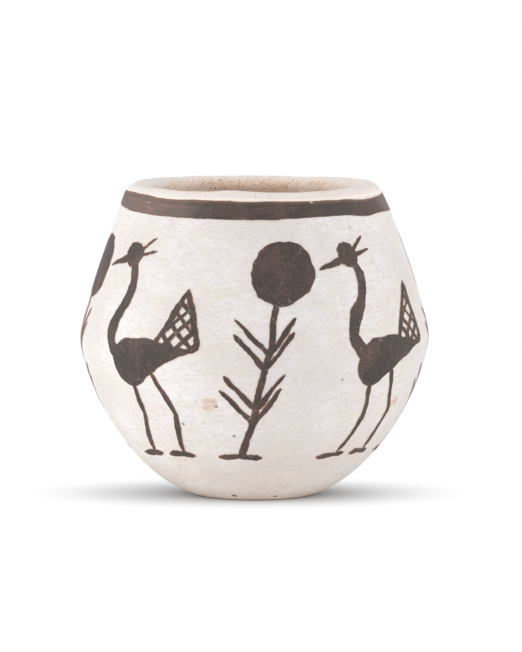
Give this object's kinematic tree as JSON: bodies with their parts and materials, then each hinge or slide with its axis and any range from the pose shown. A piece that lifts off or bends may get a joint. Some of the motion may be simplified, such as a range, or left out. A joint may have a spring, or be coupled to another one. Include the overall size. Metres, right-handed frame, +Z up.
{
  "type": "clay pot",
  "caption": "Small hand-coiled round-bellied clay pot with a thick rolled lip and open mouth, white-slipped, with a dark rim stripe and painted birds and plants.",
  "frame": {"origin": "centre of the flat resting face, on the surface that the pot stands on", "axes": "+Z up through the mouth, -Y towards the front, +X to the right as seen from the front"},
  "size_m": [0.07, 0.0707, 0.063],
  "materials": {
    "bare_clay": "matte",
    "white_slip": "matte",
    "dark_paint": "matte"
  },
  "bodies": {
    "root": {"clay_body": "bare_clay", "slip_coat": "white_slip", "rim_band": "dark_paint", "bird_1": "dark_paint", "bird_2": "dark_paint", "bird_3": "dark_paint", "bird_4": "dark_paint", "plant_1": "dark_paint", "plant_2": "dark_paint", "plant_3": "dark_paint", "plant_4": "dark_paint"}
  },
  "joints": []
}
